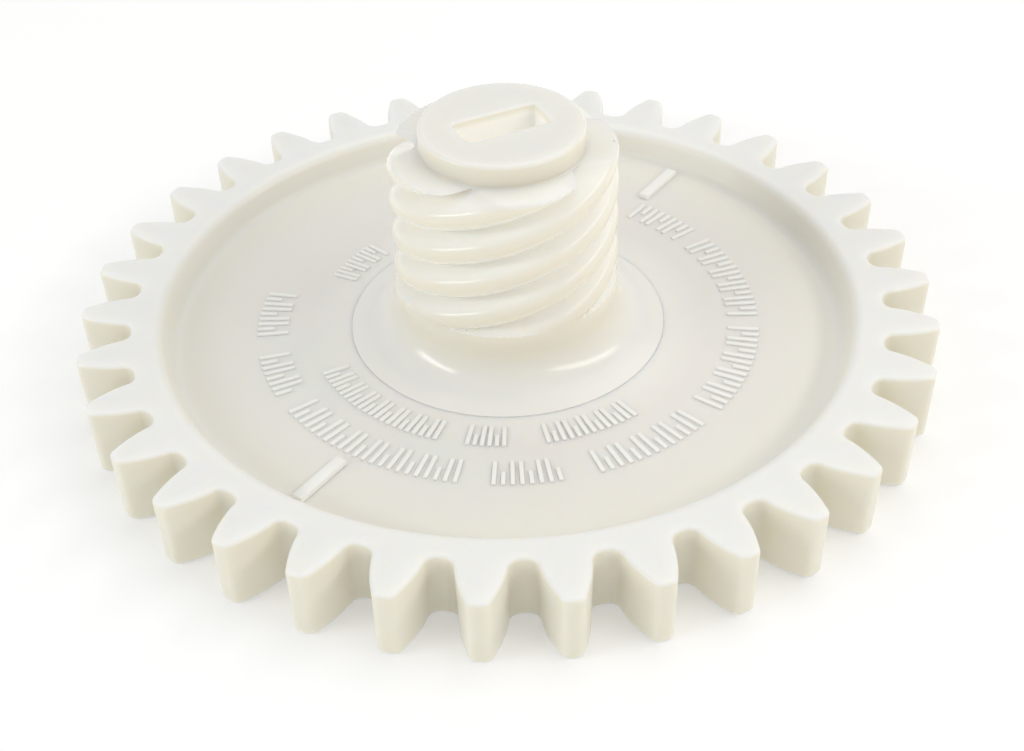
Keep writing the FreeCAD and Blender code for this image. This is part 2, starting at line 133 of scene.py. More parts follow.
# Spigot, collar, bore and drive slot of the spindle
SPIGOT_RADIUS = 7.5
WEB_RING_INNER = SPIGOT_RADIUS + 0.5
SPIGOT_FLAT = 6.5
SPIGOT_EDGE = 0.1
SPIGOT_EDGE_RISE = 0.05
CLIP_GROOVE_RADIUS = 6.3
CLIP_GROOVE_BOTTOM = 0.45
CLIP_GROOVE_TOP = 1.3
GROOVE_EDGE = 0.05
COLLAR_RADIUS = 6.7
COLLAR_FILLET = 0.25
COLLAR_EDGE = 0.4
COLLAR_FLAT = 5.6
BORE_RADIUS = 5.05
BORE_EDGE = 0.15
BORE_MIDDLE = 9.0
BORE_END = 15.2
BORE_END_EDGE = 0.3
BORE_END_FLAT = 2.5
RING_GROOVE_RADIUS = 5.5
RING_GROOVE_BOTTOM = 1.45
RING_GROOVE_TOP = 2.3
SLOT_LENGTH = 7.2
SLOT_WIDTH = 3.2
SLOT_DEPTH = 6.0
SLOT_ANGLE = 24.0
SLOT_CORNER_POWER = 14.0
SLOT_SURROUND = 0.5
SLOT_LIP = 0.18
SLOT_TAPER = (0.05, 0.1, 0.25)
SLOT_FLOOR_EDGE = 0.15

# Timing bars and the two rings of marks on the web
BAR_TOOTH = 5
BAR_INNER = 22.3
BAR_OUTER = 27.6
BAR_WIDTH = 1.0
BAR_RISE = 0.45
MARK_WIDTH = 0.34
MARK_RISE = 0.15
MARK_STEP = 2.1
MARK_CYCLE = 3
SHORT_MARK_CUT = 0.45
BAR_SINK = 0.05
BEVEL_SHARE = 0.35
BEVEL_ROUND = 0.3

# Inner and outer radius of each ring of marks, and the degrees where each group starts and ends
MARK_RINGS = [
    (18.75, 21.35, [
        (168, 184), (193, 207), (214, 258), (266, 280),
        (289, 315), (322, 352), (358, 390), (396, 412),
    ]),
    (14.6, 16.9, [(137, 155), (205, 249), (258, 268), (280, 306)]),
]

SPINDLE_COLUMNS = 360
SAMPLES_PER_PITCH = 20


# ---------------------------------------------------------------- frame

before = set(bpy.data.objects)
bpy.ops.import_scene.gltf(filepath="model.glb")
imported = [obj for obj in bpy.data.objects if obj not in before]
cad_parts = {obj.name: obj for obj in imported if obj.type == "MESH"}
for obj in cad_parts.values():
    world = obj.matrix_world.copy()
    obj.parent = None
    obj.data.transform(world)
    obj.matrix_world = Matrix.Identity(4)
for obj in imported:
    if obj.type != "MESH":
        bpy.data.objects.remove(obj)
cad_low, cad_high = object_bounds()
spindle_low, spindle_high = (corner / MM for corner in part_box("worm_spindle"))
COLLAR_TOP = spindle_high.z
SPIGOT_BOTTOM = spindle_low.z


# ---------------------------------------------------------------- mesh helpers

def ring(radii, angles, height):
    """Loop of points in millimetres at the given radii, angles and height."""
    radii = np.broadcast_to(radii, np.shape(angles))
    heights = np.broadcast_to(height, np.shape(angles))
    return np.stack([radii * np.cos(angles), radii * np.sin(angles), heights], axis=1)


def arc_profile(centre, radius, start, end, count):
    """Points of a (radius, height) profile along an arc, angles in degrees."""
    angles = np.radians(np.linspace(start, end, count))
    return [(centre[0] + radius * math.cos(a), centre[1] + radius * math.sin(a)) for a in angles]


def stack_faces(loop_count, columns, closed):
    """Quads between successive loops, and back to the first loop if closed."""
    faces = []
    for row in range(loop_count if closed else loop_count - 1):
        below = row * columns
        above = ((row + 1) % loop_count) * columns
        for column in range(columns):
            beside = (column + 1) % columns
            faces.append((below + column, below + beside, above + beside, above + column))
    return faces


def new_mesh_object(name, points, faces, smooth_angle=35.0):
    """Object from points in millimetres, merged where they meet and smooth below an angle."""
    mesh = bpy.data.meshes.new(name)
    mesh.from_pydata((np.asarray(points) * MM).tolist(), [], faces)
    work = bmesh.new()
    work.from_mesh(mesh)
    bmesh.ops.remove_doubles(work, verts=work.verts, dist=MERGE_DISTANCE)
    bmesh.ops.dissolve_degenerate(work, edges=work.edges, dist=SHORTEST_EDGE)
    bmesh.ops.recalc_face_normals(work, faces=work.faces)
    work.to_mesh(mesh)
    work.free()
    piece = bpy.data.objects.new(name, mesh)
    bpy.context.scene.collection.objects.link(piece)
    mesh.shade_smooth()
    mesh.set_sharp_from_angle(angle=math.radians(smooth_angle))
    return piece


# ---------------------------------------------------------------- spur wheel

def involute(angle):
    """Involute function of an angle in radians."""
    return np.tan(angle) - angle


def tooth_half_angle(radius):
    """Half the angle that a spur tooth takes up at a radius, down to the base circle."""
    pressure = math.radians(PRESSURE_ANGLE)
    base = MODULE * TOOTH_COUNT / 2 * math.cos(pressure)
    here = np.arccos(np.minimum(1.0, base / radius))
    return math.pi * TOOTH_SHARE / TOOTH_COUNT + involute(pressure) - involute(here)


def gap_angle(radius, thinning):
    """Angle from the middle of a gap to the flank, for a tooth thinned on each side."""
    return math.pi / TOOTH_COUNT - float(tooth_half_angle(radius)) + thinning / radius


def half_tooth(draft):
    """(radius, angle) points from the middle of a gap to a land's middle, at a share of the draft."""
    tip_radius = TIP_RADIUS - TIP_DRAFT * draft
    thinning = FLANK_DRAFT * draft
    root = MODULE * (TOOTH_COUNT / 2 - DEDENDUM) - ROOT_DRAFT * draft
    half_pitch = math.pi / TOOTH_COUNT
    orbit = root + ROOT_FILLET
    foot = gap_angle(orbit, thinning)
    lean = math.asin(ROOT_FILLET / orbit)
    points = [(root, (foot - lean) * share) for share in (0.0, 0.5)]

    # Root fillet, from the root circle to the radial stretch of the flank
    centre = np.array([orbit * math.cos(foot - lean), orbit * math.sin(foot - lean)])
    start = math.pi + foot - lean
    for turn in np.linspace(0, 1, FILLET_STEPS):
        angle = start - turn * (math.pi / 2 - lean)
        place = centre + ROOT_FILLET * np.array([math.cos(angle), math.sin(angle)])
        points.append((float(np.hypot(*place)), float(np.arctan2(place[1], place[0]))))

    # Involute flank, up to where the rounded corner begins
    corner_start = tip_radius - CORNER_REACH
    for radius in np.linspace(orbit + FLANK_CLEARANCE, corner_start, FLANK_STEPS):
        points.append((radius, gap_angle(radius, thinning)))

    # Rounded corner, a quadratic curve between the flank and the land
    flank_angle = points[-1][1]
    corner_angle = gap_angle(tip_radius, thinning)
    land_angle = corner_angle + CORNER_REACH / tip_radius
    for share in CORNER_SHARES:
        rest = 1 - share
        radius = rest * rest * corner_start + (1 - rest * rest) * tip_radius
        angle = rest * rest * flank_angle + 2 * rest * share * corner_angle
        angle += share * share * land_angle
        points.append((radius, angle))
    points.append((tip_radius, half_pitch))
    return points


def tooth_outline(draft):
    """The whole toothed outline as radii and rising angles, at a share of the draft."""
    half = half_tooth(draft)
    pitch = 2 * math.pi / TOOTH_COUNT
    rising = half[:-1] + [(radius, pitch - angle) for radius, angle in reversed(half[1:])]
    first = math.radians(TOOTH_PHASE) - pitch / 2
    radii = []
    angles = []
    for tooth in range(TOOTH_COUNT):
        for radius, angle in rising:
            radii.append(radius)
            angles.append(first + tooth * pitch + angle)
    return np.array(radii), np.array(angles)


def inset_outline(radii, angles, inset):
    """Loop in the plane that lies inside the outline by a small distance."""
    points = np.stack([radii * np.cos(angles), radii * np.sin(angles)], axis=1)
    along = np.roll(points, -1, axis=0) - np.roll(points, 1, axis=0)
    along /= np.linalg.norm(along, axis=1)[:, None]
    inward = np.stack([-along[:, 1], along[:, 0]], axis=1)
    return points + inward * inset


def toothed_loops():
    """Loops of the toothed side, from the underside's edge to the top face's edge."""
    rows = []
    for turn in np.linspace(-90, 0, EDGE_STEPS):
        inset = EDGE_ROUND * (1 - math.cos(math.radians(turn)))
        rows.append((inset, EDGE_ROUND + EDGE_ROUND * math.sin(math.radians(turn))))
    rows.append((0.0, FACE_WIDTH / 2))
    for turn in np.linspace(0, 90, EDGE_STEPS):
        inset = EDGE_ROUND * (1 - math.cos(math.radians(turn)))
        rows.append((inset, FACE_WIDTH - EDGE_ROUND + EDGE_ROUND * math.sin(math.radians(turn))))
    loops = []
    for inset, height in rows:
        radii, angles = tooth_outline(1 - height / FACE_WIDTH)
        flat = inset_outline(radii, angles, inset)
        loops.append(np.column_stack([flat, np.full(len(flat), height)]))
    return loops


def wheel_upper_profile():
    """(radius, height) from the rim's flat top face inwards over the web to the bore."""
    profile = [(RIM_SHOULDER, FACE_WIDTH), (RIM_FLAT_INNER, FACE_WIDTH)]
    edge_centre = (RIM_INNER + RIM_EDGE_OFFSET, FACE_WIDTH - RIM_EDGE)
    profile += arc_profile(edge_centre, RIM_EDGE, 90, RIM_EDGE_SWEEP, 8)
    foot_centre = (RIM_WALL - WALL_FOOT_OFFSET, WEB_TOP + WALL_FOOT)
    profile += arc_profile(foot_centre, WALL_FOOT, -WALL_LEAN, -90, 7)
    for radius in np.linspace(WEB_RING_OUTER, WEB_RING_INNER, WEB_RINGS):
        profile.append((radius, WEB_TOP))
    return profile


def wheel_lower_profile():
    """(radius, height) from the hub's underside outwards to the rim's underside."""
    profile = [(HUB_RADIUS - HUB_EDGE, HUB_BOTTOM), (HUB_RADIUS, HUB_BOTTOM + HUB_EDGE_RISE)]
    profile += arc_profile((HUB_RADIUS + HUB_FILLET, WEB_BOTTOM - HUB_FILLET), HUB_FILLET, 180, 90, 4)
    for share in np.linspace(*UNDER_WEB_SHARES, UNDER_WEB_RINGS):
        profile.append((HUB_RADIUS + share * (RIM_UNDER - HUB_RADIUS), WEB_BOTTOM))
    fillet_centre = (RIM_UNDER - RIM_UNDER_FILLET, WEB_BOTTOM - RIM_UNDER_FILLET)
    profile += arc_profile(fillet_centre, RIM_UNDER_FILLET, 90, 0, 6)
    profile += arc_profile((RIM_UNDER + RIM_UNDER_EDGE, RIM_UNDER_EDGE), RIM_UNDER_EDGE, 180, 270, 4)
    profile.append((RIM_UNDER_FLAT, 0.0))
    return profile


def flatted_radius(angles, radius, flat):
    """Radius of a circle with two flats across X."""
    across = np.maximum(np.abs(np.cos(angles)), 1e-6)
    return np.minimum(radius, flat / across)


def make_wheel():
    """Toothed rim, web and keyed bore as one closed surface."""
    loops = toothed_loops()
    radii, angles = tooth_outline(0.0)
    first = math.radians(TOOTH_PHASE) - math.pi / TOOTH_COUNT
    even = first + np.arange(len(angles)) * 2 * math.pi / len(angles)
    for number, (radius, height) in enumerate(wheel_upper_profile()):
        evening = min(EVENING, EVENING_STEP * number)
        loops.append(ring(radius, (1 - evening) * angles + evening * even, height))
    spread = (1 - EVENING) * angles + EVENING * even
    bore = flatted_radius(spread, SPIGOT_RADIUS + KEY_PLAY, SPIGOT_FLAT + KEY_PLAY)
    for height in (WEB_TOP, HUB_BOTTOM):
        loops.append(ring(bore, spread, height))
    for radius, height in wheel_lower_profile():
        loops.append(ring(radius, spread, height))
    faces = stack_faces(len(loops), len(angles), closed=True)
    wheel = new_mesh_object("wheel_moulding", np.concatenate(loops), faces)
    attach(wheel, "gear")
    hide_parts("spur_wheel")
    return wheel


# ---------------------------------------------------------------- worm spindle

def thread_radius(angles, heights):
    """Radius of the worm's surface: round crests, straight flanks and a round root."""
    phase = heights - THREAD_HEIGHT - LEAD * angles / (2 * math.pi)
    offset = np.abs((phase + AXIAL_PITCH / 2) % AXIAL_PITCH - AXIAL_PITCH / 2)
    rise = WORM_RADIUS - SHOULDER_RADIUS
    crest_round = (CREST_HALF ** 2 + rise ** 2) / (2 * rise)
    crest = WORM_RADIUS - crest_round + np.sqrt(np.maximum(crest_round ** 2 - offset ** 2, 0))
    slope = (SHOULDER_RADIUS - ROOT_RADIUS) / (FOOT_HALF - CREST_HALF)
    flank = SHOULDER_RADIUS - slope * (offset - CREST_HALF)
    return np.where(offset < CREST_HALF, crest, np.maximum(flank, ROOT_RADIUS))


def worm_radius(angles, heights):
    """Threads that fade into the lower collar and are rounded over at the upper end."""
    radius = thread_radius(angles, heights)
    fade = np.clip((WORM_BOTTOM + WORM_FADE - heights) / WORM_FADE, 0, 1)
    floor = ROOT_RADIUS + (WORM_RADIUS - ROOT_RADIUS) * fade * fade * (3 - 2 * fade)
    radius = np.maximum(radius, floor)
    over = np.clip((heights - (WORM_TOP - WORM_TOP_ROUND)) / WORM_TOP_ROUND, 0, 1)
    ceiling = WORM_RADIUS - WORM_TOP_ROUND * (1 - np.sqrt(1 - over ** 2))
    return np.minimum(radius, ceiling)


def worm_grid(angles):
    """Points and faces of the threaded stretch, on a grid whose rows follow the threads."""
    shift = STARTS * SAMPLES_PER_PITCH
    step = AXIAL_PITCH / SAMPLES_PER_PITCH
    rows = int(math.ceil((WORM_TOP - WORM_BOTTOM + GRID_MARGIN) / step)) + shift + 1
    starts = WORM_TOP - (rows - 1 - np.arange(rows)) * step
    climb = LEAD * angles / (2 * math.pi)
    heights = starts[None, :] + climb[:, None]
    heights = np.clip(heights, WORM_START, WORM_TOP)
    around = np.repeat(angles[:, None], rows, axis=1)
    radius = worm_radius(around, heights)
    points = np.stack([radius * np.cos(around), radius * np.sin(around), heights], axis=2)
    faces = []
    columns = len(angles)
    for column in range(columns):
        beside = (column + 1) % columns
        jump = shift if beside == 0 else 0
        for row in range(rows - 1):
            if row + 1 + jump > rows - 1:
                continue
            faces.append((column * rows + row, beside * rows + row + jump,
                          beside * rows + row + 1 + jump, column * rows + row + 1))
    return points.reshape(-1, 3), faces


def slot_loop(angles, inset, height):
    """Loop round the drive slot, a rectangle with rounded corners, grown by inset."""
    half_length = SLOT_LENGTH / 2 + inset
    half_width = SLOT_WIDTH / 2 + inset
    local = angles - math.radians(SLOT_ANGLE)
    across = np.abs(np.cos(local)) / half_length
    along = np.abs(np.sin(local)) / half_width
    radius = (across ** SLOT_CORNER_POWER + along ** SLOT_CORNER_POWER) ** (-1 / SLOT_CORNER_POWER)
    return ring(radius, angles, height)


def upper_spindle_loops(angles):
    """Loops from the worm's upper end over the collar and down into the drive slot."""
    worm_end = worm_radius(angles, np.full(len(angles), WORM_TOP))
    loops = [ring(worm_end, angles, WORM_TOP), ring(COLLAR_RADIUS + COLLAR_FILLET, angles, WORM_TOP)]
    fillet_centre = (COLLAR_RADIUS + COLLAR_FILLET, WORM_TOP + COLLAR_FILLET)
    edge_centre = (COLLAR_RADIUS - COLLAR_EDGE, COLLAR_TOP - COLLAR_EDGE)
    profile = arc_profile(fillet_centre, COLLAR_FILLET, 270, 180, 5)
    profile += arc_profile(edge_centre, COLLAR_EDGE, 0, 90, 8)
    profile.append((COLLAR_FLAT, COLLAR_TOP))
    for radius, height in profile:
        loops.append(ring(radius, angles, height))
    loops.append(slot_loop(angles, SLOT_SURROUND, COLLAR_TOP))
    for turn in np.linspace(90, 180, 5):
        lean = math.radians(turn)
        inset = SLOT_LIP + SLOT_LIP * math.cos(lean)
        loops.append(slot_loop(angles, inset, COLLAR_TOP - SLOT_LIP + SLOT_LIP * math.sin(lean)))
    middle, wall_foot, floor_edge = SLOT_TAPER
    loops.append(slot_loop(angles, -middle, COLLAR_TOP - SLOT_DEPTH / 2))
    loops.append(slot_loop(angles, -wall_foot, COLLAR_TOP - SLOT_DEPTH + SLOT_FLOOR_EDGE))
    loops.append(slot_loop(angles, -floor_edge, COLLAR_TOP - SLOT_DEPTH))
    return loops


def lower_spindle_loops(angles):
    """Loops from the worm's lower end over the flare and the spigot and up into the bore."""
    worm_end = worm_radius(angles, np.full(len(angles), WORM_START))
    flare_centre = (FOOT_RADIUS + FOOT_FLARE, WEB_TOP + FLANGE_EDGE + FOOT_FLARE)
    spigot = flatted_radius(angles, SPIGOT_RADIUS, SPIGOT_FLAT)
    clip_groove = np.minimum(spigot, CLIP_GROOVE_RADIUS)
    profile = [(worm_end, WORM_START), (FOOT_RADIUS, FOOT_TOP)]
    profile += arc_profile(flare_centre, FOOT_FLARE, 180, FLARE_END, 20)
    profile += [
        (FLANGE_RADIUS, WEB_TOP + FLANGE_LIP),
        (FLANGE_RADIUS, WEB_TOP),
        (spigot, WEB_TOP),
        (spigot, CLIP_GROOVE_TOP + GROOVE_EDGE),
        (spigot, CLIP_GROOVE_TOP),
        (clip_groove, CLIP_GROOVE_TOP),
        (clip_groove, CLIP_GROOVE_BOTTOM),
        (spigot, CLIP_GROOVE_BOTTOM),
        (spigot, SPIGOT_BOTTOM + SPIGOT_EDGE_RISE),
        (spigot - SPIGOT_EDGE, SPIGOT_BOTTOM),
        (BORE_RADIUS + BORE_EDGE, SPIGOT_BOTTOM),
        (BORE_RADIUS, SPIGOT_BOTTOM + BORE_EDGE),
        (BORE_RADIUS, RING_GROOVE_BOTTOM),
        (RING_GROOVE_RADIUS, RING_GROOVE_BOTTOM),
        (RING_GROOVE_RADIUS, RING_GROOVE_TOP),
        (BORE_RADIUS, RING_GROOVE_TOP),
        (BORE_RADIUS, BORE_MIDDLE),
        (BORE_RADIUS, BORE_END - BORE_END_EDGE),
        (BORE_RADIUS - BORE_END_EDGE, BORE_END),
        (BORE_END_FLAT, BORE_END),
    ]
    return [ring(radius, angles, height) for radius, height in profile]


def make_spindle():
    """Worm, slotted collar, flared foot, keyed spigot and blind bore as one closed surface."""
    angles = np.arange(SPINDLE_COLUMNS) * 2 * math.pi / SPINDLE_COLUMNS
    worm_points, faces = worm_grid(angles)
    points = [worm_points]
    count = len(worm_points)
    for loops in (upper_spindle_loops(angles), lower_spindle_loops(angles)):
        for face in stack_faces(len(loops), SPINDLE_COLUMNS, closed=False):
            faces.append(tuple(count + corner for corner in face))
        points += loops
        count += len(loops) * SPINDLE_COLUMNS
        faces.append(tuple(range(count - SPINDLE_COLUMNS, count)))
    spindle = new_mesh_object("spindle_moulding", np.concatenate(points), faces)
    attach(spindle, "gear")
    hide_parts("worm_spindle")
    return spindle


# ---------------------------------------------------------------- raised bars and marks

def add_raised_bar(points, faces, angle, inner, outer, width, rise):
    """Low radial bar on the web with a bevelled top, as points and faces of a closed shell."""
    along = np.array([math.cos(angle), math.sin(angle)])
    across = np.array([-along[1], along[0]])
    bevel = min(rise, width) * BEVEL_SHARE
    levels = [
        (0.0, WEB_TOP - BAR_SINK),
        (0.0, WEB_TOP + rise - bevel),
        (bevel * BEVEL_ROUND, WEB_TOP + rise - bevel * BEVEL_ROUND),
        (bevel, WEB_TOP + rise),
    ]
    start = len(points)
    for inset, height in levels:
        for end, side in ((0, -1), (1, -1), (1, 1), (0, 1)):
            reach = (inner + inset, outer - inset)[end]
            flat = along * reach + across * side * (width / 2 - inset)
            points.append((flat[0], flat[1], height))
    for level in range(len(levels) - 1):
        for corner in range(4):
            low = start + 4 * level
            beside = (corner + 1) % 4
            faces.append((low + corner, low + beside, low + 4 + beside, low + 4 + corner))
    faces.append(tuple(start + corner for corner in (3, 2, 1, 0)))
    faces.append(tuple(start + 4 * (len(levels) - 1) + corner for corner in range(4)))


def make_timing_bars():
    """Two raised bars that point at opposite teeth."""
    points = []
    faces = []
    first = math.radians(TOOTH_PHASE) + BAR_TOOTH * 2 * math.pi / TOOTH_COUNT
    for turn in (0, math.pi):
        add_raised_bar(points, faces, first + turn, BAR_INNER, BAR_OUTER, BAR_WIDTH, BAR_RISE)
    bars = new_mesh_object("timing_bars", points, faces)
    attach(bars, "gear")
    return bars


def make_marks():
    """Two rings of plain radial ticks on the web, in groups, long and short by turns."""
    points = []
    faces = []
    for inner, outer, groups in MARK_RINGS:
        for first, last in groups:
            count = int(round((last - first) / MARK_STEP)) + 1
            for number, degrees in enumerate(np.linspace(first, last, count)):
                short = number % MARK_CYCLE == 1
                start = inner + SHORT_MARK_CUT * (outer - inner) if short else inner
                angle = math.radians(degrees)
                add_raised_bar(points, faces, angle, start, outer, MARK_WIDTH, MARK_RISE)
    marks = new_mesh_object("web_marks", points, faces)
    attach(marks, "gear")
    return marks


# ---------------------------------------------------------------- materials

# Colours of the wheel's nylon
# Painted shade: the thin web is painted greyer than the rim; its greenish and pinkish patches are
# random tone
WEB_GREENISH_SHADED = (0.835, 0.84, 0.805)
WEB_PINKISH_SHADED = (0.855, 0.82, 0.78)
WEB_OUTER_SHADED = (0.855, 0.83, 0.76)
# Rim colours: level faces lighter, and upright faces darker and yellower as painted shade
RIM_LEVEL = (0.92, 0.92, 0.885)
RIM_UPRIGHT_SHADE = (0.845, 0.815, 0.705)
# Painted light: a lighter cream near the spindle's foot, on the web and on the flare
FOOT_CREAM_LIGHT = (0.91, 0.895, 0.85)
# Painted highlight: the raised bars and marks are painted lighter than the web, in random patches
RAISED_HIGHLIGHT_BRIGHT = (0.96, 0.955, 0.92)
RAISED_HIGHLIGHT_DULL = (0.92, 0.915, 0.88)

# Colours of the spindle's nylon
SPINDLE_COOL = (0.905, 0.90, 0.855)
SPINDLE_WARM = (0.905, 0.885, 0.825)
# Painted shade: the spindle's upright faces are painted darker and yellower
SPINDLE_UPRIGHT_SHADE = (0.845, 0.81, 0.70)
# Painted light: the drive slot's walls are painted lighter than the rest of the spindle
SLOT_CREAM_LIGHT = (0.94, 0.925, 0.885)
GLOW_COLOUR = (1.0, 0.95, 0.85, 1.0)

# Finish of the nylon: scatter in millimetres, roughness, grain and the strength of the glow
WHEEL_SCATTER = 0.7
WHEEL_ROUGHNESS = 0.34
SPINDLE_SCATTER = 1.0
SPINDLE_ROUGHNESS = 0.18
SCATTER_RADII = (1.0, 0.9, 0.75)
NYLON_IOR = 1.5
ROUGHNESS_SPREAD = (-0.04, 0.06)
GRAIN_STRENGTH = 0.10
GRAIN_DEPTH = 0.04 * MM
GROOVE_GLOW = 0.09
SLOT_GLOW = 0.08

# Scale of each noise, in repeats per metre
WEB_CLOUD = 55.0
SPINDLE_CLOUD = 90.0
RAISED_CLOUD = 200.0
WEAR_SCALE = 300.0
GRAIN_SCALE = 900.0
BLOTCH_SCALE = 500.0

# Parts of a noise's range that are stretched to the whole range
CLOUD_RANGE = (0.35, 0.65)
WEAR_RANGE = (0.3, 0.7)
BLOTCH_RANGE = (0.35, 0.7)

# Upright part of a normal below which a face is upright, and above which it is level
LEVEL_RANGE = (0.2, 0.9)

# Radii, then heights, in metres between which one look goes over into another
WEB_BLEND = (19.0 * MM, 27.0 * MM)
RIM_BLEND = (27.0 * MM, 30.0 * MM)
FOOT_BLEND = (FLANGE_RADIUS * MM, 17.0 * MM)
FLARE_BLEND = (9.4 * MM, 11.5 * MM)
SCATTER_FADE = (10.0 * MM, 12.3 * MM)
GLOW_FADE = (ROOT_RADIUS * MM, 12.5 * MM)
SLOT_BLEND = (3.9 * MM, 4.3 * MM)
UNDER_LIP = ((COLLAR_TOP - 0.7) * MM, (COLLAR_TOP - 0.1) * MM)
UNDER_WORM_TOP = ((WORM_TOP - 0.6) * MM, (WORM_TOP - 0.1) * MM)


def new_material(name):
    """A material with an empty tree but for its Principled shader."""
    material = bpy.data.materials.new(name)
    material.use_nodes = True
    return material, material.node_tree, material.node_tree.nodes["Principled BSDF"]


def add_noise(tree, coordinates, scale, detail=4.0):
    """Noise over object coordinates, in repeats per metre."""
    noise = tree.nodes.new("ShaderNodeTexNoise")
    noise.inputs["Scale"].default_value = scale
    noise.inputs["Detail"].default_value = detail
    tree.links.new(coordinates.outputs["Object"], noise.inputs["Vector"])
    return noise


def add_ramp(tree, value, low, high, low_value, high_value):
    """Number that goes from low_value to high_value as value goes from low to high."""
    span = tree.nodes.new("ShaderNodeMapRange")
    limits = {"From Min": low, "From Max": high, "To Min": low_value, "To Max": high_value}
    for socket, number in limits.items():
        span.inputs[socket].default_value = number
    tree.links.new(value, span.inputs["Value"])
    return span.outputs["Result"]


def mix_colours(tree, share, first, second):
    """Mix two colours by a share; each is a socket or an (r, g, b) value."""
    mix = tree.nodes.new("ShaderNodeMix")
    mix.data_type = "RGBA"
    tree.links.new(share, mix.inputs["Factor"])
    for socket, colour in ((mix.inputs["A"], first), (mix.inputs["B"], second)):
        if isinstance(colour, tuple):
            socket.default_value = (*colour, 1.0)
        else:
            tree.links.new(colour, socket)
    return mix.outputs["Result"]


def add_math(tree, operation, first, second):
    """Result of a sum on a socket and a number or another socket."""
    node = tree.nodes.new("ShaderNodeMath")
    node.operation = operation
    for socket, item in zip(node.inputs, (first, second)):
        if isinstance(item, (int, float)):
            socket.default_value = item
        else:
            tree.links.new(item, socket)
    return node.outputs["Value"]


def add_radius(tree, coordinates):
    """Distance from the gear's axis in metres, and height above the rim's underside."""
    split = tree.nodes.new("ShaderNodeSeparateXYZ")
    tree.links.new(coordinates.outputs["Object"], split.inputs["Vector"])
    across = add_math(tree, "MULTIPLY", split.outputs["X"], split.outputs["X"])
    along = add_math(tree, "MULTIPLY", split.outputs["Y"], split.outputs["Y"])
    radius = add_math(tree, "POWER", add_math(tree, "ADD", across, along), 0.5)
    return radius, split.outputs["Z"]


def add_upright_shade(tree):
    """Share that is 1 on upright faces and 0 on level ones, used to paint shade on upright faces."""
    geometry = tree.nodes.new("ShaderNodeNewGeometry")
    split = tree.nodes.new("ShaderNodeSeparateXYZ")
    tree.links.new(geometry.outputs["Normal"], split.inputs["Vector"])
    level = add_math(tree, "ABSOLUTE", split.outputs["Z"], 0.0)
    return add_ramp(tree, level, *LEVEL_RANGE, 1.0, 0.0)


def finish_nylon(tree, shader, coordinates, colour, scatter_mm, roughness):
    """Light below the surface, uneven gloss and the fine grain of the mould."""
    tree.links.new(colour, shader.inputs["Base Color"])
    if scatter_mm:
        shader.inputs["Subsurface Weight"].default_value = 1.0
        shader.inputs["Subsurface Radius"].default_value = SCATTER_RADII
        shader.inputs["Subsurface Scale"].default_value = scatter_mm * MM
    shader.inputs["IOR"].default_value = NYLON_IOR
    wear = add_noise(tree, coordinates, WEAR_SCALE, 4.0)
    smoothest, roughest = (roughness + change for change in ROUGHNESS_SPREAD)
    uneven = add_ramp(tree, wear.outputs["Fac"], *WEAR_RANGE, smoothest, roughest)
    tree.links.new(uneven, shader.inputs["Roughness"])
    grain = add_noise(tree, coordinates, GRAIN_SCALE, 3.0)
    bump = tree.nodes.new("ShaderNodeBump")
    bump.inputs["Strength"].default_value = GRAIN_STRENGTH
    bump.inputs["Distance"].default_value = GRAIN_DEPTH
    tree.links.new(grain.outputs["Fac"], bump.inputs["Height"])
    tree.links.new(bump.outputs["Normal"], shader.inputs["Normal"])


def wheel_nylon_material(name):
    """Milky nylon: white in the thick rim, with painted shade greying the thin web and the rim's
    upright faces, and creamy painted light near the spindle.
    """
    material, tree, shader = new_material(name)
    coordinates = tree.nodes.new("ShaderNodeTexCoord")
    radius, _ = add_radius(tree, coordinates)
    # Painted shade: the thin web gets greyer colours than the rim, in random greenish and pinkish
    # patches
    cloud = add_noise(tree, coordinates, WEB_CLOUD, 2.0)
    patches = add_ramp(tree, cloud.outputs["Fac"], *CLOUD_RANGE, 0.0, 1.0)
    middle = mix_colours(tree, patches, WEB_GREENISH_SHADED, WEB_PINKISH_SHADED)
    outside = add_ramp(tree, radius, *WEB_BLEND, 0.0, 1.0)
    web = mix_colours(tree, outside, middle, WEB_OUTER_SHADED)
    rim_share = add_ramp(tree, radius, *RIM_BLEND, 0.0, 1.0)
    # Painted shade: the rim's upright faces are painted darker than its level faces
    rim = mix_colours(tree, add_upright_shade(tree), RIM_LEVEL, RIM_UPRIGHT_SHADE)
    outer = mix_colours(tree, rim_share, web, rim)
    # Painted light: the web near the spindle's foot is lifted to a lighter cream
    foot_light_share = add_ramp(tree, radius, *FOOT_BLEND, 1.0, 0.0)
    colour = mix_colours(tree, foot_light_share, outer, FOOT_CREAM_LIGHT)
    finish_nylon(tree, shader, coordinates, colour, WHEEL_SCATTER, WHEEL_ROUGHNESS)
    return material


def raised_nylon_material(name):
    """The wheel's nylon where it stands proud in thin ridges that catch the light, painted lighter
    than the web as a painted highlight.
    """
    material, tree, shader = new_material(name)
    coordinates = tree.nodes.new("ShaderNodeTexCoord")
    # Painted highlight: random patches of two colours, both lighter than the web
    cloud = add_noise(tree, coordinates, RAISED_CLOUD, 2.0)
    colour = mix_colours(tree, cloud.outputs["Fac"], RAISED_HIGHLIGHT_BRIGHT, RAISED_HIGHLIGHT_DULL)
    finish_nylon(tree, shader, coordinates, colour, 0.0, WHEEL_ROUGHNESS)
    return material


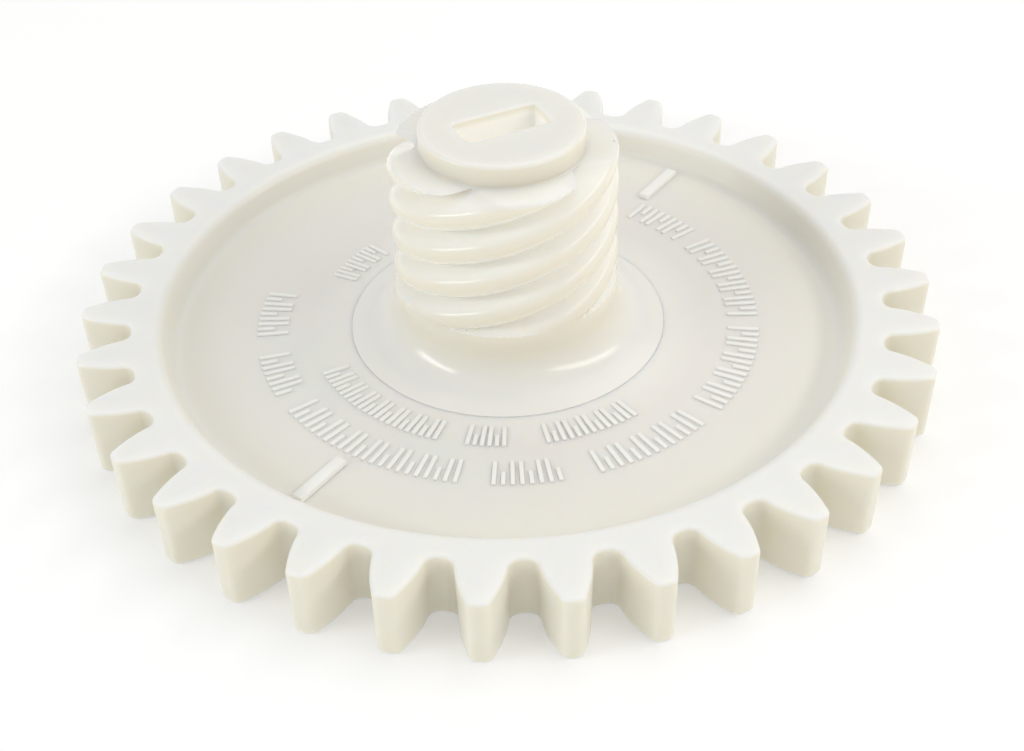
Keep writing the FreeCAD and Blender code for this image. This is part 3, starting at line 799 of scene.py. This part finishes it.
def spindle_nylon_material(name):
    """The same nylon, thicker and creamier, with a glossier surface, painted shade on upright faces
    and painted light on the flare and in the drive slot.
    """
    material, tree, shader = new_material(name)
    coordinates = tree.nodes.new("ShaderNodeTexCoord")
    cloud = add_noise(tree, coordinates, SPINDLE_CLOUD, 2.0)
    patches = add_ramp(tree, cloud.outputs["Fac"], *CLOUD_RANGE, 0.0, 1.0)
    level = mix_colours(tree, patches, SPINDLE_COOL, SPINDLE_WARM)
    # Painted shade: upright faces, such as the threads' flanks, are painted darker
    colour = mix_colours(tree, add_upright_shade(tree), level, SPINDLE_UPRIGHT_SHADE)
    radius, height = add_radius(tree, coordinates)
    # Painted light: the flare is lifted to the same lighter cream, over the painted shade of upright
    # faces
    flare_light_share = add_ramp(tree, radius, *FLARE_BLEND, 0.0, 1.0)
    colour = mix_colours(tree, flare_light_share, colour, FOOT_CREAM_LIGHT)
    # Painted light: inside the drive slot, below its lip, the walls are painted a lighter cream
    inside = add_ramp(tree, radius, *SLOT_BLEND, 1.0, 0.0)
    under_lip = add_ramp(tree, height, *UNDER_LIP, 1.0, 0.0)
    slot = add_math(tree, "MULTIPLY", inside, under_lip)
    colour = mix_colours(tree, slot, colour, SLOT_CREAM_LIGHT)
    finish_nylon(tree, shader, coordinates, colour, SPINDLE_SCATTER, SPINDLE_ROUGHNESS)
    thick_share = add_ramp(tree, radius, *SCATTER_FADE, 1.0, 0.0)
    tree.links.new(thick_share, shader.inputs["Subsurface Weight"])

    # Faint glow that stands for the light the clear nylon carries into grooves and slot
    depth = add_ramp(tree, radius, *GLOW_FADE, 1.0, 0.0)
    below_top = add_ramp(tree, height, *UNDER_WORM_TOP, 1.0, 0.0)
    groove = add_math(tree, "MULTIPLY", depth, below_top)
    groove_glow = add_math(tree, "MULTIPLY", groove, GROOVE_GLOW)
    slot_glow = add_math(tree, "MULTIPLY", slot, SLOT_GLOW)
    glow = add_math(tree, "ADD", groove_glow, slot_glow)
    tree.links.new(glow, shader.inputs["Emission Strength"])
    shader.inputs["Emission Color"].default_value = GLOW_COLOUR
    return material


def metal(name, colour, dark, roughness, line_scale):
    """Turned or rolled metal with fine lines round its axis."""
    material, tree, shader = new_material(name)
    coordinates = tree.nodes.new("ShaderNodeTexCoord")
    lines = tree.nodes.new("ShaderNodeTexWave")
    lines.wave_type = "RINGS"
    lines.rings_direction = "Z"
    lines.inputs["Scale"].default_value = line_scale
    lines.inputs["Distortion"].default_value = 0.6
    tree.links.new(coordinates.outputs["Object"], lines.inputs["Vector"])
    blotch = add_noise(tree, coordinates, BLOTCH_SCALE, 4.0)
    share = add_ramp(tree, blotch.outputs["Fac"], *BLOTCH_RANGE, 0.0, 1.0)
    tree.links.new(mix_colours(tree, share, colour, dark), shader.inputs["Base Color"])
    shader.inputs["Metallic"].default_value = 1.0
    uneven = add_ramp(tree, lines.outputs["Fac"], 0.0, 1.0, roughness, roughness + 0.12)
    tree.links.new(uneven, shader.inputs["Roughness"])
    bump = tree.nodes.new("ShaderNodeBump")
    bump.inputs["Strength"].default_value = 0.2
    bump.inputs["Distance"].default_value = 0.02 * MM
    tree.links.new(lines.outputs["Fac"], bump.inputs["Height"])
    tree.links.new(bump.outputs["Normal"], shader.inputs["Normal"])
    return material


def paint(piece, material):
    """Give a piece one material."""
    piece.data.materials.clear()
    piece.data.materials.append(material)


# ---------------------------------------------------------------- stage

FLOOR_SIZE = 4.0
FLOOR_GAP = 0.0001
FLOOR_GREY = 0.9
FLOOR_GLOW = 0.18
WORLD_STRENGTH = 0.56
LIGHT_DISTANCE = 0.5

# Each soft box: name, azimuth and elevation in degrees, width and height in metres, roll in
# degrees, power in watts, colour
SOFT_BOXES = [
    ("top_box", 150, 65, 0.45, 0.45, 0, 0.55, (1.0, 1.0, 0.98)),
    ("left_strip", -70, 25, 0.34, 0.06, 36, 0.55, (0.93, 0.97, 1.0)),
    ("right_strip", 73, 35, 0.55, 0.07, 0, 0.65, (1.0, 0.97, 0.91)),
]

# Camera: lens and sensor in millimetres, angles in degrees, distances in metres
CAMERA_LENS = 57.99
CAMERA_SENSOR = 36.0
CAMERA_ELEVATION = 38.67
CAMERA_AZIMUTH = -0.11
CAMERA_ROLL = -1.76
CAMERA_DISTANCE = 0.14549
CAMERA_AIM = (0.00022, 0.0, -0.00266)


def make_floor():
    """Plain pale floor under the rim."""
    bpy.ops.mesh.primitive_plane_add(size=FLOOR_SIZE, location=(0, 0, cad_low.z - FLOOR_GAP))
    floor = bpy.context.object
    floor.name = "floor"
    material, _, shader = new_material("pale_floor")
    shader.inputs["Base Color"].default_value = (FLOOR_GREY, FLOOR_GREY, FLOOR_GREY, 1)
    shader.inputs["Roughness"].default_value = 0.9
    shader.inputs["Emission Color"].default_value = (1, 1, 1, 1)
    shader.inputs["Emission Strength"].default_value = FLOOR_GLOW
    paint(floor, material)


def direction(turn, lift):
    """Unit vector towards an azimuth and elevation in radians, azimuth 0 being -Y."""
    return Vector((math.sin(turn) * math.cos(lift), -math.cos(turn) * math.cos(lift), math.sin(lift)))


def add_soft_box(name, azimuth, elevation, width, height, roll, power, colour):
    """Soft box aimed at the gear; azimuth 0 is the camera's side, + to its right."""
    light = bpy.data.lights.new(name, "AREA")
    light.shape = "RECTANGLE"
    light.size = width
    light.size_y = height
    light.energy = power
    light.color = colour
    lamp = bpy.data.objects.new(name, light)
    back = direction(math.radians(azimuth), math.radians(elevation))
    lamp.location = back * LIGHT_DISTANCE
    lamp.rotation_mode = "QUATERNION"
    tilt = Quaternion((0, 0, 1), math.radians(roll))
    lamp.rotation_quaternion = (-back).to_track_quat("-Z", "Y") @ tilt
    bpy.context.scene.collection.objects.link(lamp)


def make_lights():
    """High-key studio: a bright even surround and soft boxes above and beside."""
    world = bpy.data.worlds.new("studio")
    bpy.context.scene.world = world
    world.use_nodes = True
    background = world.node_tree.nodes["Background"]
    background.inputs["Color"].default_value = (1, 1, 1, 1)
    background.inputs["Strength"].default_value = WORLD_STRENGTH
    for soft_box in SOFT_BOXES:
        add_soft_box(*soft_box)


def make_camera():
    """Camera at the photograph's angle, aimed close to the gear's foot."""
    lens = bpy.data.cameras.new("camera")
    lens.lens = CAMERA_LENS
    lens.sensor_width = CAMERA_SENSOR
    lens.clip_start = 0.01
    lens.clip_end = 10.0
    camera = bpy.data.objects.new("camera", lens)
    back = direction(math.radians(CAMERA_AZIMUTH), math.radians(CAMERA_ELEVATION))
    camera.location = Vector(CAMERA_AIM) + back * CAMERA_DISTANCE
    roll = Euler((0, 0, math.radians(CAMERA_ROLL))).to_quaternion()
    camera.rotation_mode = "QUATERNION"
    camera.rotation_quaternion = (-back).to_track_quat("-Z", "Y") @ roll
    bpy.context.scene.collection.objects.link(camera)
    bpy.context.scene.camera = camera


# ---------------------------------------------------------------- scene

make_camera()
make_floor()
make_lights()
bpy.context.scene.view_settings.view_transform = "Standard"
wheel = make_wheel()
spindle = make_spindle()
timing_bars = make_timing_bars()
marks = make_marks()
wheel_nylon = wheel_nylon_material("wheel_nylon")
raised_nylon = raised_nylon_material("raised_nylon")
paint(wheel, wheel_nylon)
for raised in (timing_bars, marks):
    paint(raised, raised_nylon)
paint(spindle, spindle_nylon_material("spindle_nylon"))
bronze = metal("bronze", (0.66, 0.43, 0.22), (0.48, 0.30, 0.16), 0.32, 900.0)
washer_steel = metal("washer_steel", (0.62, 0.62, 0.62), (0.5, 0.5, 0.5), 0.3, 1200.0)
paint(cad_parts["bearing_sleeve"], bronze)
paint(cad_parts["thrust_washer"], washer_steel)
spring_steel = metal("spring_steel", (0.20, 0.20, 0.21), (0.13, 0.13, 0.14), 0.38, 1500.0)
for ring_node in ("spindle_clip", "bore_retaining_ring"):
    paint(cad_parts[ring_node], spring_steel)
